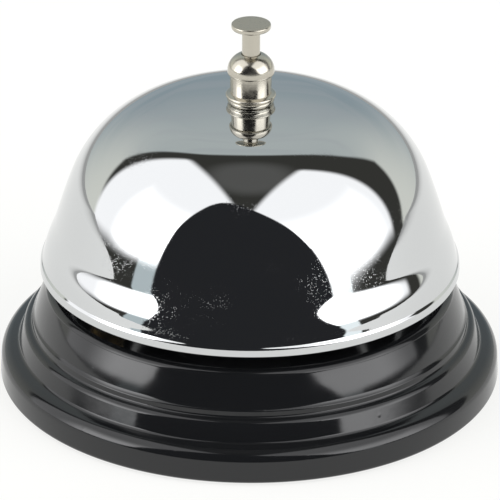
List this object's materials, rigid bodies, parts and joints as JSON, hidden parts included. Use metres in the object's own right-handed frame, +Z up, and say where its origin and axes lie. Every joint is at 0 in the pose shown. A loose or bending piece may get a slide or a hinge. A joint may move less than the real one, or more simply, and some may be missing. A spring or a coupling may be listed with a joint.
{
  "type": "service bell",
  "caption": "Counter service bell: a chromed gong on a stepped black base, rung by a sprung push button that swings a hammer up inside the gong.",
  "frame": {"origin": "middle of the underside, on the surface the bell stands on", "axes": "+Z up along the button's axis; the hammer hangs towards -X and the striker's pivot pin lies along Y"},
  "size_m": [0.0856, 0.0856, 0.0646],
  "materials": {
    "black_enamel": "gloss stove enamel",
    "black_board": "satin black",
    "rubber": "matte",
    "zinc_steel": "zinc plated, satin",
    "spring_steel": "drawn wire",
    "dark_steel": "oiled spring steel",
    "fibre": "vulcanised fibre",
    "chrome": "mirror, slightly pitted",
    "nickel": "polished nickel",
    "brushed_nickel": "nickel, finely turned",
    "brass": "turned"
  },
  "bodies": {
    "base": {"base_shell": "black_enamel", "bottom_cover": "black_board", "foot_ring": "rubber", "frame_bracket": "zinc_steel", "bracket_rivets": "zinc_steel", "post": "zinc_steel", "lock_washer": "dark_steel", "post_nut": "zinc_steel", "gong_washer": "fibre", "gong": "chrome", "cap_nut": "nickel", "pivot_pin": "zinc_steel", "pivot_clip": "dark_steel", "stop_pin": "zinc_steel", "stop_sleeve": "rubber"},
    "plunger": {"push_button": "brushed_nickel", "plunger_rod": "zinc_steel", "plunger_spring": "spring_steel"},
    "striker": {"striker_lever": "zinc_steel", "striker_bush": "brass", "hammer": "brass"}
  },
  "joints": [
    {"name": "button_slide", "type": "slide", "parent": "base", "child": "plunger", "axis": [0, 0, 1], "range_m": [-0.0034, 0], "stiffness_N_per_m": 250, "springref_m": 0.008, "deforming": ["plunger_spring"]},
    {"name": "striker_hinge", "type": "hinge", "parent": "base", "child": "striker", "pos_m": [-0.0045, 0, 0.029], "axis": [0, 1, 0], "range_deg": [0, 41.4]}
  ],
  "couplings": [
    {"joint": "striker_hinge", "follows": "button_slide", "rad_per_m": -212.47}
  ]
}
